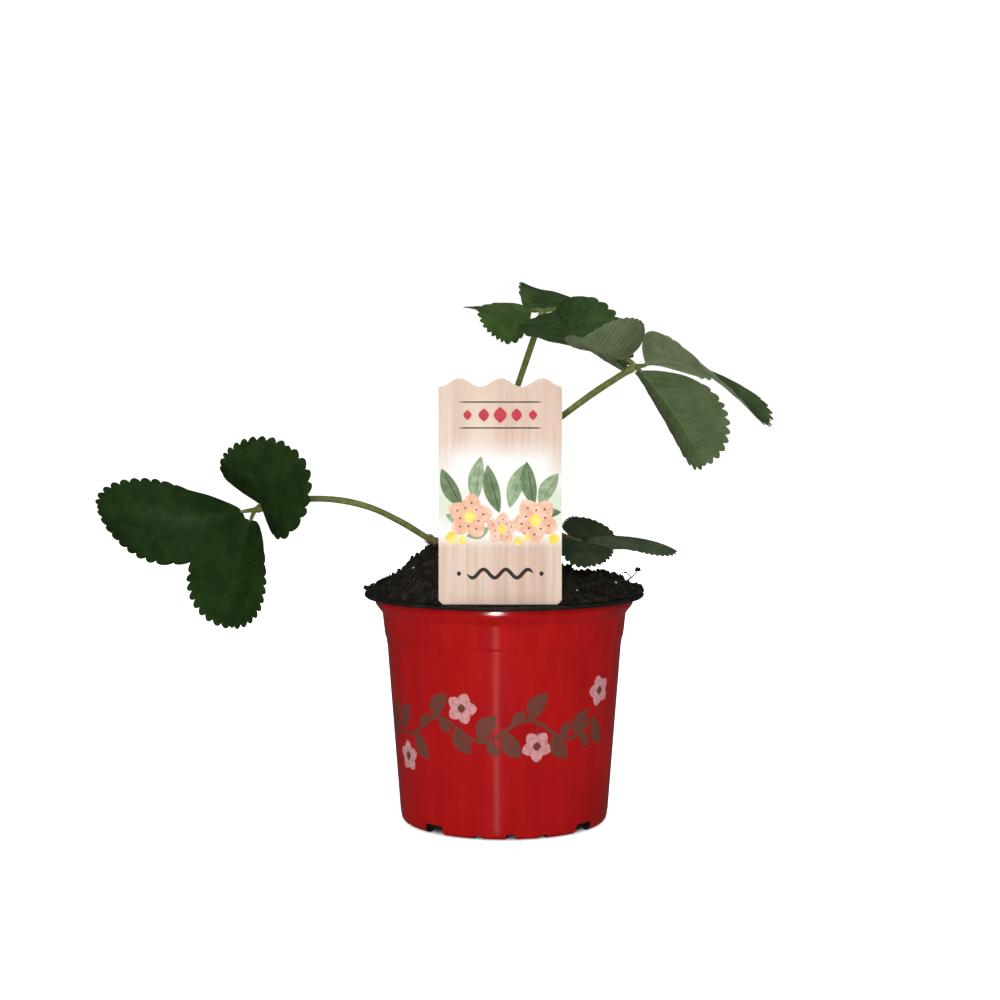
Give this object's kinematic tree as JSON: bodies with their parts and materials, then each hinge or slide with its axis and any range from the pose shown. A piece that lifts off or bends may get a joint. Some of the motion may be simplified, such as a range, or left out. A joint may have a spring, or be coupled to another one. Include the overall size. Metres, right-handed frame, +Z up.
{
  "type": "potted strawberry plant",
  "caption": "Young strawberry plant with toothed three-part leaves on long stalks, in heaped peat in a round tapered nursery pot, with a card label standing on its rim.",
  "frame": {"origin": "centre of the pot's foot, on the surface it stands on", "axes": "+Z up along the pot's axis; the card label faces -Y; +X to the right as the label is read, along the plant's widest spread"},
  "size_m": [0.2775, 0.1655, 0.2332],
  "materials": {
    "pot": "gloss",
    "soil": "matte",
    "crown": "matte",
    "label": "satin",
    "stalk": "satin",
    "leaf": "satin"
  },
  "bodies": {
    "root": {"pot": "pot", "soil": "soil", "crown": "crown", "label": "label", "stalk_a": "stalk", "leaf_a_left": "leaf", "leaf_a_lower": "leaf", "leaf_a_upper": "leaf", "stalk_b": "stalk", "leaf_b_left": "leaf", "leaf_b_far": "leaf", "leaf_b_near": "leaf", "stalk_c": "stalk", "leaf_c_near": "leaf", "leaf_c_right": "leaf", "leaf_c_hanging": "leaf", "stalk_d": "stalk", "leaf_d_far": "leaf", "leaf_d_right": "leaf", "leaf_d_near": "leaf"}
  },
  "joints": []
}
